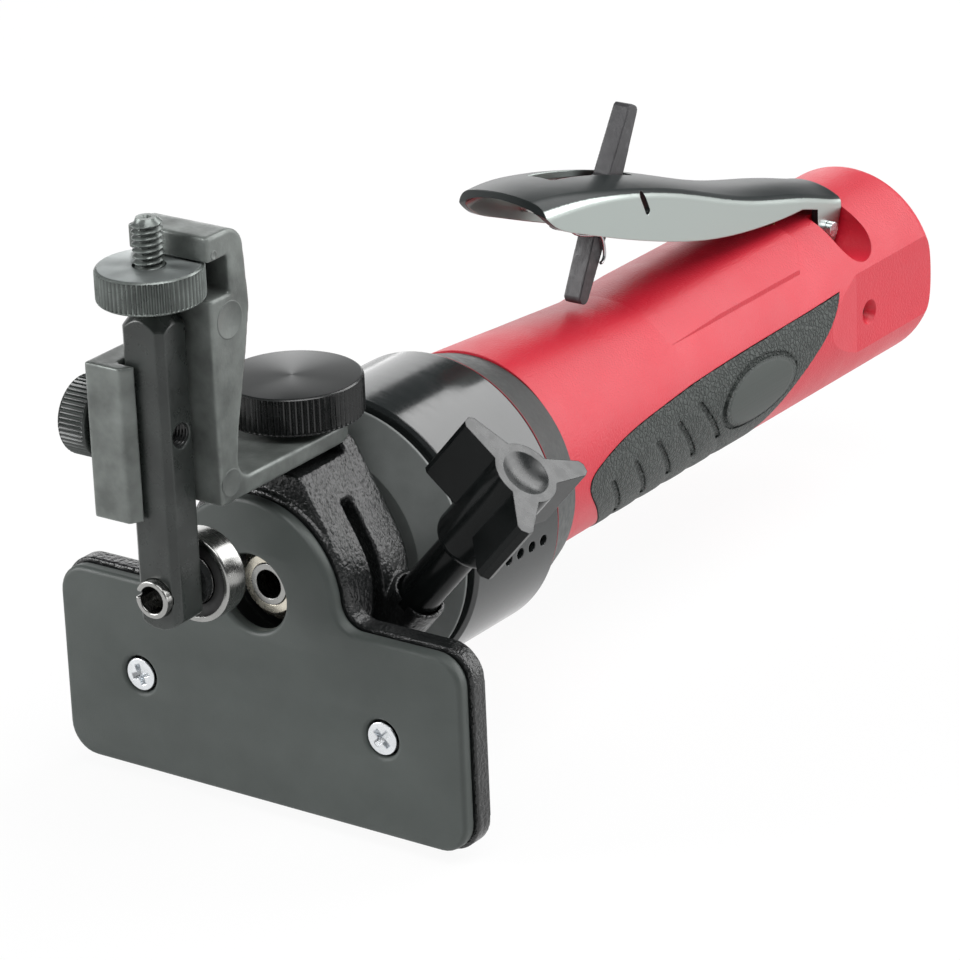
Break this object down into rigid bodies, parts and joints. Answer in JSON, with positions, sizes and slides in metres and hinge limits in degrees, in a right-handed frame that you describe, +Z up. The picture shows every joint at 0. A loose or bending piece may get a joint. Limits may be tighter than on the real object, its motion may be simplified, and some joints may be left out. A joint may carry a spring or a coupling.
{
  "type": "laminate trimmer",
  "caption": "Hand-held air laminate trimmer with a red handle, throttle lever, flat sole and an adjustable roller guide for trimming overhanging edges.",
  "frame": {"origin": "on the spindle axis at the mouth of the collet", "axes": "+X to the right seen from the front, +Y along the spindle to the rear, +Z up towards the throttle lever"},
  "size_m": [0.1167, 0.2774, 0.1377],
  "materials": {
    "sole_coat": "smooth dark grey coat",
    "wrinkle_paint": "black wrinkle paint",
    "black_plastic": "moulded, soft sheen",
    "black_anodised": "satin black turned metal",
    "grey_polymer": "matte grey",
    "red_composite": "satin moulded red",
    "grip_rubber": "leather grain",
    "felt": "pressed felt",
    "black_oxide_steel": "black oxide, turned",
    "bar_steel": "dark oiled steel bar",
    "bright_steel": "ground",
    "zinc_steel": "zinc plated",
    "nickel": "warm nickel plate",
    "die_cast": "dark tumbled casting",
    "lever_steel": "dark satin plated sheet",
    "lock_steel": "grey phosphate",
    "cast_liner": "honed",
    "vane_fibre": "phenolic",
    "brass": "machined",
    "seal_black": "matte seal",
    "spring_steel": "drawn wire"
  },
  "bodies": {
    "motor": {"handle_shell": "red_composite", "grip_insert": "grip_rubber", "collar_ring": "grey_polymer", "motor_housing": "black_anodised", "nose_cap": "black_anodised", "bearing_retainer": "bright_steel", "muffler_felt": "felt", "front_end_plate": "cast_liner", "rear_end_plate": "cast_liner", "motor_liner": "cast_liner", "motor_bearings": "bright_steel", "inlet_bushing": "zinc_steel", "inlet_screen": "brass", "retaining_pin": "black_oxide_steel", "valve_bushing": "brass", "valve_spring": "spring_steel", "lever_pin": "zinc_steel"},
    "spindle_body": {"spindle": "bright_steel", "collet": "bright_steel", "collet_nut": "nickel", "rotor": "bright_steel", "rotor_vanes": "vane_fibre", "bearing_inner_races": "bright_steel"},
    "lever_body": {"throttle_lever": "lever_steel", "lock_pin": "bright_steel"},
    "lock_body": {"lock_lever": "lock_steel", "lock_spring": "spring_steel"},
    "valve_body": {"valve_stem": "bright_steel"},
    "base_body": {"base_casting": "wrinkle_paint", "sub_base": "sole_coat", "sub_base_screws": "zinc_steel", "clamp_nut": "zinc_steel"},
    "clamp_knob_body": {"clamp_knob": "black_plastic", "clamp_stud": "black_oxide_steel"},
    "bracket_body": {"guide_bracket": "die_cast"},
    "bracket_knob_body": {"bracket_knob": "black_oxide_steel", "bracket_knob_stud": "black_oxide_steel"},
    "wheel_body": {"adjusting_wheel": "black_oxide_steel"},
    "bar_body": {"guide_bar": "bar_steel", "roller_pin": "bright_steel", "roller_inner_race": "bright_steel", "roller_spacer": "black_oxide_steel"},
    "guide_lock_body": {"guide_lock_knob": "black_oxide_steel", "guide_lock_screw": "black_oxide_steel"},
    "roller_body": {"roller_outer_race": "bright_steel", "roller_seals": "seal_black"}
  },
  "joints": [
    {"name": "spindle_spin", "type": "hinge", "parent": "motor", "child": "spindle_body", "pos_m": [0, 0, 0], "axis": [0, 1, 0], "continuous": true},
    {"name": "throttle", "type": "hinge", "parent": "motor", "child": "lever_body", "pos_m": [0, 0.2028, 0.0175], "axis": [1, 0, 0], "range_deg": [0, 5.5], "stiffness_Nm_per_rad": 4, "springref_deg": -5.73},
    {"name": "lock_swing", "type": "hinge", "parent": "lever_body", "child": "lock_body", "pos_m": [0, 0.1108, 0.0475], "axis": [1, 0, 0], "range_deg": [0, 80.1]},
    {"name": "valve_slide", "type": "slide", "parent": "motor", "child": "valve_body", "axis": [0, 0, 1], "range_m": [-0.0024, 0], "deforming": ["valve_spring"]},
    {"name": "base_depth", "type": "slide", "parent": "motor", "child": "base_body", "axis": [0, 1, 0], "range_m": [-0.008, 0.001]},
    {"name": "clamp_turn", "type": "hinge", "parent": "base_body", "child": "clamp_knob_body", "pos_m": [0.01665, 0.0153, -0.01438], "axis": [0.6534, 0, 0.757], "range_deg": [-30, 540]},
    {"name": "guide_reach", "type": "slide", "parent": "base_body", "child": "bracket_body", "axis": [0, 1, 0], "range_m": [-0.003, 0.003]},
    {"name": "bracket_knob_turn", "type": "hinge", "parent": "base_body", "child": "bracket_knob_body", "pos_m": [0, 0.0117, 0.034], "axis": [0, 0, 1], "range_deg": [-30, 540]},
    {"name": "wheel_turn", "type": "hinge", "parent": "bracket_body", "child": "wheel_body", "pos_m": [0, -0.0311, 0.076], "axis": [0, 0, 1], "range_deg": [-361, 2161]},
    {"name": "guide_depth", "type": "slide", "parent": "bracket_body", "child": "bar_body", "axis": [0, 0, 1], "range_m": [-0.00762, 0.00127]},
    {"name": "guide_lock_turn", "type": "hinge", "parent": "bar_body", "child": "guide_lock_body", "pos_m": [-0.012, -0.0311, 0.0447], "axis": [1, 0, 0], "range_deg": [-30, 360]},
    {"name": "roller_spin", "type": "hinge", "parent": "bar_body", "child": "roller_body", "pos_m": [0, -0.0217, 0.0104], "axis": [0, 1, 0], "continuous": true}
  ],
  "couplings": [
    {"joint": "lock_swing", "follows": "throttle", "ratio": 14.545},
    {"joint": "valve_slide", "follows": "throttle", "m_per_rad": -0.0228},
    {"joint": "wheel_turn", "follows": "guide_depth", "rad_per_m": -4947.4}
  ]
}
